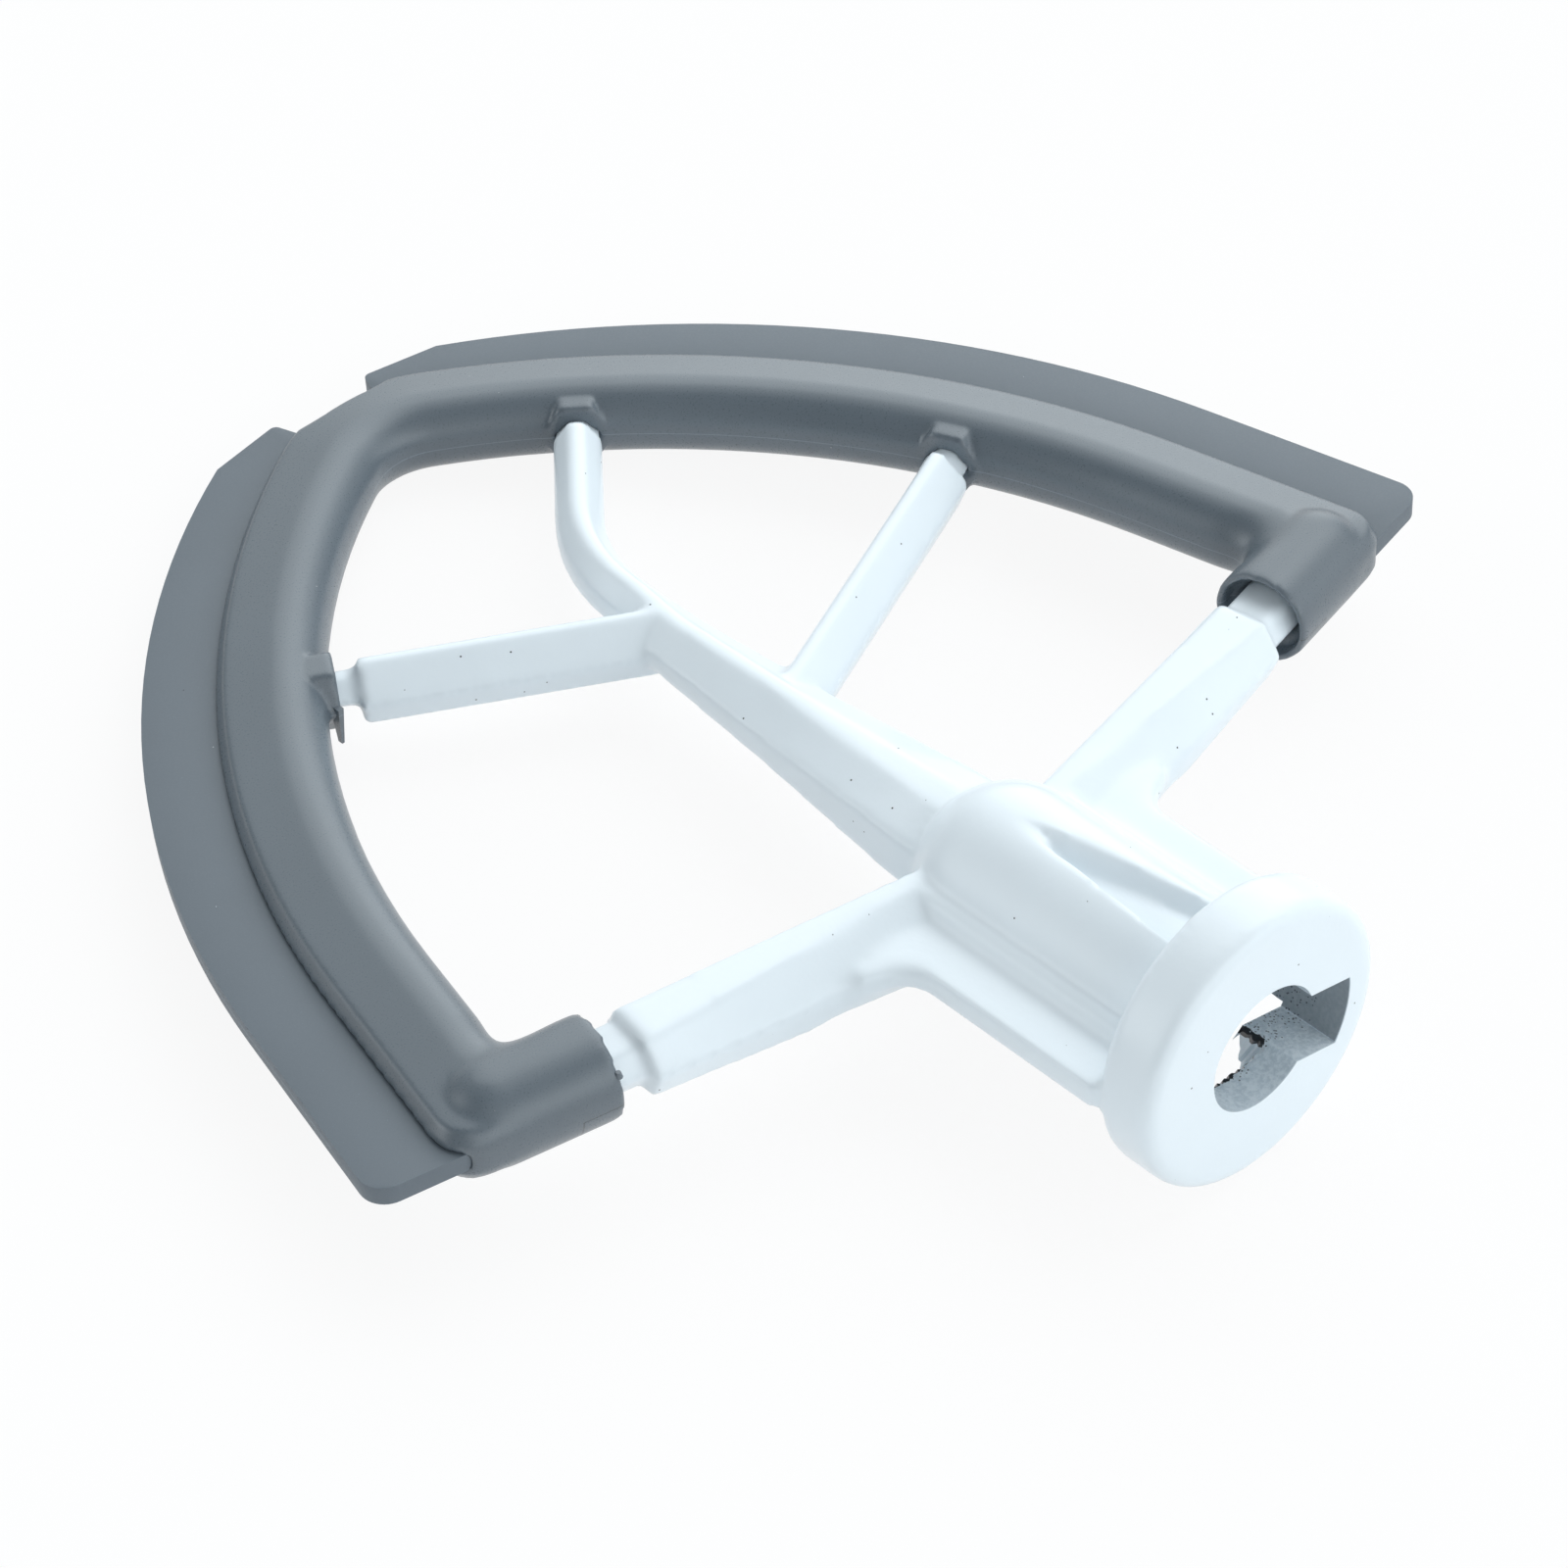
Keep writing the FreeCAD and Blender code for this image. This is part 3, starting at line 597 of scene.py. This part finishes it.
def torn_mouth():
    """Where the lower window breaks through the bore's wall behind the collar's face.

    An outline in X and Y with a ragged front and right side, carried down and back. It is
    worked out in mm.
    """
    ragged = np.random.default_rng(5)
    tooth = 0.34
    left, right, back = -9.0, 4.2, 7.2
    front_x = np.arange(left, 4.0, tooth)
    front = np.column_stack((front_x, 4.15 + ragged.uniform(-0.22, 0.3, len(front_x))))
    side_y = np.arange(4.5, 6.8, tooth)
    side = np.column_stack((4.05 + ragged.uniform(-0.1, 0.4, len(side_y)), side_y))
    outline = np.vstack((front, side, ((right, back), (left, back))))
    top, wall, low = -2.0, -6.5, -12.5
    slope = np.array((0.0, -0.5))
    rings = [level_ring(outline + slope * (z - wall), z) * MM for z in (top, low)]
    return closed_bar(*rings)


def spine_root():
    """The spine's root, eight-cornered in section, carried back into the hub's dome."""
    right = np.array(((1.6, -4.7), (6.4, -2.8), (6.4, 2.8), (1.6, 4.7)))
    left = right[::-1] * (-1.0, 1.0)
    outline = np.vstack((left, right)) + (0.2, 0.0)
    return prism(outline * MM, 36.0 * MM, 43.4 * MM)


def cut_away(piece_mesh, shells):
    """The mesh with closed shells cut out of it, which leaves crisp rims."""
    carrier = loose_object("cut_carrier", piece_mesh)
    tools = [loose_object("cutter", mesh_of("cutter", [shell])) for shell in shells]
    for tool in tools:
        cut = carrier.modifiers.new("cut", "BOOLEAN")
        cut.operation = "DIFFERENCE"
        cut.solver = "EXACT"
        cut.object = tool
    mesh = finished_mesh(carrier)
    for tool in tools:
        bpy.data.objects.remove(tool)
    return mesh


def window_edge(points):
    """1 along the upright wall of the upper window, which leans right with Y, else 0."""
    x, y, z = points.T
    foot, lean = -2.8 * MM, 0.077
    edge = foot + (y - COLLAR_LENGTH) * lean
    crisp = fade(np.abs(x - edge), 0.6 * MM, 1.6 * MM) * (z > 5.5 * MM) * (y > 6.0 * MM)
    return crisp * fade(y, 22.0 * MM, 29.0 * MM)


def casting_mesh(voxel, rounds):
    """The casting with its edges and corners rounded as a coat leaves them.

    The socket is plugged while the rest is rounded, and then cut out again, so that its
    rims stay sharp. The plugs are a little wider than the socket, to close it tightly.
    """
    plugs = socket_shells(0.0, 0.05 * MM)
    mesh = fine_mesh("cast_core", voxel, plugs + [spine_root(), window_floor()])
    points = read_points(mesh)
    pairs = read_pairs(mesh)
    points = relax(points, pairs, FREE - 0.38 * window_edge(points), rounds)
    from_web = np.hypot(np.abs(points[:, 0]) - 19.0 * MM, points[:, 1] - 33.0 * MM)
    web_corner = fade(from_web, 3.0 * MM, 7.0 * MM)
    write_points(mesh, relax(points, pairs, FREE * web_corner, rounds=25))
    socket = socket_shells(-2.0 * MM, 0.0)
    mesh = cut_away(mesh, socket + [torn_mouth(), lower_window(), slot_outlet()])
    shade_smooth(mesh)
    mesh.set_sharp_from_angle(angle=math.radians(40.0))
    return mesh


def outward(points):
    """Distance outward from the frame's centre line, which is the same on both sides.

    The line is an arc round the tip's centre up to the shoulder, an arc round the side's
    centre from there on, and a straight leg below it.
    """
    x, y = np.abs(points[:, 0]), points[:, 1]
    tip = np.hypot(x - TIP_CENTRE[0], y - TIP_CENTRE[1]) - TIP_RADIUS
    side = np.hypot(x - SIDE_CENTRE[0], y - SIDE_CENTRE[1]) - SIDE_RADIUS
    leg = (x - ELBOW[0]) * math.cos(SIDE_ANGLE) + (y - ELBOW[1]) * math.sin(SIDE_ANGLE)
    past_shoulder = np.arctan2(y - TIP_CENTRE[1], x - TIP_CENTRE[0]) > SHOULDER
    below_arc = np.arctan2(y - SIDE_CENTRE[1], x - SIDE_CENTRE[0]) < SIDE_ANGLE
    return np.where(past_shoulder, tip, np.where(below_arc, leg, side))


def sleeve_frame(points):
    """Each point along and across the nearer sleeve's axis, measured from the elbow."""
    x, y = np.abs(points[:, 0]) - ELBOW[0], points[:, 1] - ELBOW[1]
    cosine, sine = math.cos(SIDE_ANGLE), math.sin(SIDE_ANGLE)
    return x * cosine + y * sine, y * cosine - x * sine


def sleeve_place(run, across, side):
    """X and Y of a place that is given along and across a sleeve, on the side -1 or 1."""
    cosine, sine = math.cos(SIDE_ANGLE), math.sin(SIDE_ANGLE)
    return (side * (ELBOW[0] + run * cosine - across * sine),
            ELBOW[1] + run * sine + across * cosine)


def shrunk(outline, share):
    """An outline made smaller about its middle."""
    middle = outline.mean(axis=0)
    return middle + (outline - middle) * share


def flash():
    """Moulding flash: a fin under the left boss and a nub on the left sleeve's mouth."""
    fin = np.array(
        ((-30.05, 98.0), (-30.05, 99.4), (-30.75, 99.4), (-30.75, 98.0))) * MM
    nub_place = np.array(sleeve_place(-11.0 * MM, -4.45 * MM, -1))
    nub = circle(0.42 * MM, 10) + nub_place
    return [
        closed_bar(level_ring(fin, 0.8 * MM), level_ring(shrunk(fin, 0.45), -3.9 * MM)),
        closed_bar(level_ring(shrunk(nub, 0.6), 2.95 * MM), level_ring(nub, 2.3 * MM))]


def frame_mesh(voxel, elbow_rounds):
    """The moulded frame: soft tube, crisp outer edges and bosses, filled inner elbows."""
    mesh = fine_mesh("edge_frame", voxel)
    points = read_points(mesh)
    pairs = read_pairs(mesh)
    run, across = sleeve_frame(points)
    from_elbow = np.hypot(run + 4.3 * MM, across - 5.3 * MM)
    elbow = fade(from_elbow, 1.5 * MM, 5.0 * MM)
    points = relax(points, pairs, FREE * elbow, elbow_rounds)
    crisp = fade(-outward(points), -4.4 * MM, -3.2 * MM)
    for x, y in BOSSES:
        from_boss = np.hypot(points[:, 0] - x, points[:, 1] - y)
        crisp = np.maximum(crisp, fade(from_boss, 4.0 * MM, 7.0 * MM))
    write_points(mesh, relax(points, pairs, FREE - 0.43 * crisp, rounds=7))
    add_shells(mesh, flash())
    return mesh


def blade_piece(node, name):
    """A wiper blade with its long edges softened."""
    piece = stand_in(node, name, joined_copy(node))
    soften = piece.modifiers.new("soft_edges", "BEVEL")
    soften.width = 0.32 * MM
    soften.segments = 3
    soften.limit_method = "ANGLE"
    soften.angle_limit = math.radians(35.0)
    piece.data.shade_smooth()
    return piece


# Operators

class BEATER_OT_casting(bpy.types.Operator):
    """Coat the casting"""
    bl_idname = "beater.casting"
    bl_label = "Casting"

    def execute(self, context):
        prefs = context.scene.beater_coating
        mesh = casting_mesh(prefs.voxel, prefs.rounds)
        wear(stand_in("cast_core", "casting", mesh), coating_material())
        return {"FINISHED"}


class BEATER_OT_frame(bpy.types.Operator):
    """Finish the moulded frame"""
    bl_idname = "beater.frame"
    bl_label = "Frame"

    def execute(self, context):
        prefs = context.scene.beater_frame
        mesh = frame_mesh(prefs.voxel, prefs.elbow_rounds)
        wear(stand_in("edge_frame", "moulded_frame", mesh),
             moulded_material("grey_frame", prefs.colour, rough=0.31, grain=prefs.grain))
        return {"FINISHED"}


class BEATER_OT_wipers(bpy.types.Operator):
    """Finish the two soft wiper blades"""
    bl_idname = "beater.wipers"
    bl_label = "Wipers"

    def execute(self, context):
        prefs = context.scene.beater_wipers
        material = moulded_material(
            "soft_blade", prefs.colour, rough=0.55, grain=0.25 * MM)
        for node, name in (("left_wiper", "left_blade"), ("right_wiper", "right_blade")):
            wear(blade_piece(node, name), material)
        return {"FINISHED"}


class BEATER_OT_stage(bpy.types.Operator):
    """Lay the floor, light the room and set the camera"""
    bl_idname = "beater.stage"
    bl_label = "Stage"

    def execute(self, context):
        prefs = context.scene.beater_stage
        lay_floor(prefs.shadow)
        light_room(prefs.light)
        set_camera()
        return {"FINISHED"}


# Floor, light and camera

# Where the beater touches the floor
COLLAR_FOOT = Vector((0.0, 5.13 * MM, -15.42 * MM))
TIP_FOOT = Vector((0.0, 130.7 * MM, -4.26 * MM))


def lay_floor(shadow):
    """A wide plane that the collar and the tip rest on.

    The camera sees it as plain white with a share of its shading as paper, and the other
    rays see the paper, apart from mirrored ones, which see the white too.
    """
    half_width = 3.0
    run = (TIP_FOOT - COLLAR_FOOT).normalized()
    across = Vector((1.0, 0.0, 0.0))
    corners = [COLLAR_FOOT + run * (half_width * v) + across * (half_width * u)
               for u, v in ((-1, -1), (1, -1), (1, 1), (-1, 1))]
    mesh = bpy.data.meshes.new("floor")
    mesh.from_pydata([tuple(point) for point in corners], [], [(0, 1, 2, 3)])
    floor = loose_object("floor", mesh)
    material = bpy.data.materials.new("paper")
    tree = Tree(material)
    paper = tree.node("ShaderNodeBsdfDiffuse", None, {"Color": PAPER_COLOUR})
    glow = tree.node("ShaderNodeEmission", None, {"Color": WHITE, "Strength": 1.0})
    camera = tree.node("ShaderNodeLightPath", out="Is Camera Ray")
    mirror = tree.node("ShaderNodeLightPath", out="Is Glossy Ray")
    share = camera * (1.0 - shadow) + mirror
    both = tree.node("ShaderNodeMixShader", None, {0: share, 1: paper, 2: glow})
    tree.show(both)
    floor.data.materials.append(material)


# Soft lights of the room: heading from +X and height in degrees, and strength
ROOM_LIGHTS = (
    (0, 52, 3.6), (60, 52, 2.1), (240, 52, 0.5), (36, 15, 3.0), (72, 15, 0.6),
    (144, 15, 3.2), (216, 15, 0.45), (252, 15, 1.9), (288, 15, 2.4), (324, 15, 1.5))

# The power that narrows each light: it fades as the angle's cosine to this power
NARROWING = 12.0


def light_room(strength):
    """A dark room with soft lights, which the camera sees as plain white."""
    world = bpy.data.worlds.new("room")
    bpy.context.scene.world = world
    tree = Tree(world)
    ray = tree.node("ShaderNodeVectorMath", {"operation": "NORMALIZE"},
                    [tree.node("ShaderNodeTexCoord", out="Generated")])
    total = 0.0
    for heading, height, power in ROOM_LIGHTS:
        turn, rise = math.radians(heading), math.radians(height)
        middle = (math.cos(turn) * math.cos(rise), math.sin(turn) * math.cos(rise),
                  math.sin(rise))
        near = tree.node("ShaderNodeVectorMath", {"operation": "DOT_PRODUCT"},
                         [ray, middle], out="Value")
        total = near.either(0.0) ** NARROWING * (power * strength) + total
    path = tree.node("ShaderNodeLightPath", out="Is Camera Ray")
    seen = total * (1.0 - path) + path
    tint = tree.blend(path, LIGHT_TINT, WHITE)
    glow = tree.node("ShaderNodeBackground", None, {"Color": tint, "Strength": seen})
    tree.show(glow, "ShaderNodeOutputWorld")


def set_camera():
    """The photograph's viewpoint."""
    data = bpy.data.cameras.new("camera")
    data.sensor_width = 36.0
    data.lens = 110.092
    data.shift_x = -0.000316
    data.shift_y = -0.002268
    data.clip_start = 0.01
    camera = bpy.data.objects.new("camera", data)
    camera.location = (-0.2345448, -0.2086233, 0.3153187)
    camera.rotation_euler = [math.radians(a) for a in (48.09434, 2.55576, -42.82178)]
    bpy.context.scene.collection.objects.link(camera)
    bpy.context.scene.camera = camera


# Panel and registration

class BEATER_PT_panel(bpy.types.Panel):
    """Lists the pieces of the beater"""
    bl_idname = "BEATER_PT_panel"
    bl_label = "Flat Beater"
    bl_space_type = "VIEW_3D"
    bl_region_type = "UI"
    bl_category = "Beater"

    def draw(self, context):
        for prefs, operator in zip(PREFS, OPERATORS):
            column = self.layout.column()
            column.operator(operator.bl_idname)
            settings = getattr(context.scene, prefs)
            for key in settings.bl_rna.properties.keys():
                if key not in ("rna_type", "name"):
                    column.prop(settings, key)


PREFS = {
    "beater_coating": CoatingSettings,
    "beater_frame": FrameSettings,
    "beater_wipers": WiperSettings,
    "beater_stage": StageSettings,
}
OPERATORS = (BEATER_OT_casting, BEATER_OT_frame, BEATER_OT_wipers, BEATER_OT_stage)


def register():
    """Adds the settings, the operators and the panel."""
    for name, settings in PREFS.items():
        bpy.utils.register_class(settings)
        setattr(bpy.types.Scene, name, PointerProperty(type=settings))
    for kind in OPERATORS + (BEATER_PT_panel,):
        bpy.utils.register_class(kind)


def unregister():
    """Takes them out again, the last one first."""
    for kind in reversed(OPERATORS + (BEATER_PT_panel,)):
        bpy.utils.unregister_class(kind)
    for name, settings in PREFS.items():
        delattr(bpy.types.Scene, name)
        bpy.utils.unregister_class(settings)


def main():
    """Dresses the beater and sets its stage."""
    register()
    bpy.context.scene.view_settings.view_transform = "Standard"
    bpy.ops.beater.casting()
    bpy.ops.beater.frame()
    bpy.ops.beater.wipers()
    bpy.ops.beater.stage()


if __name__ == "__main__":
    main()
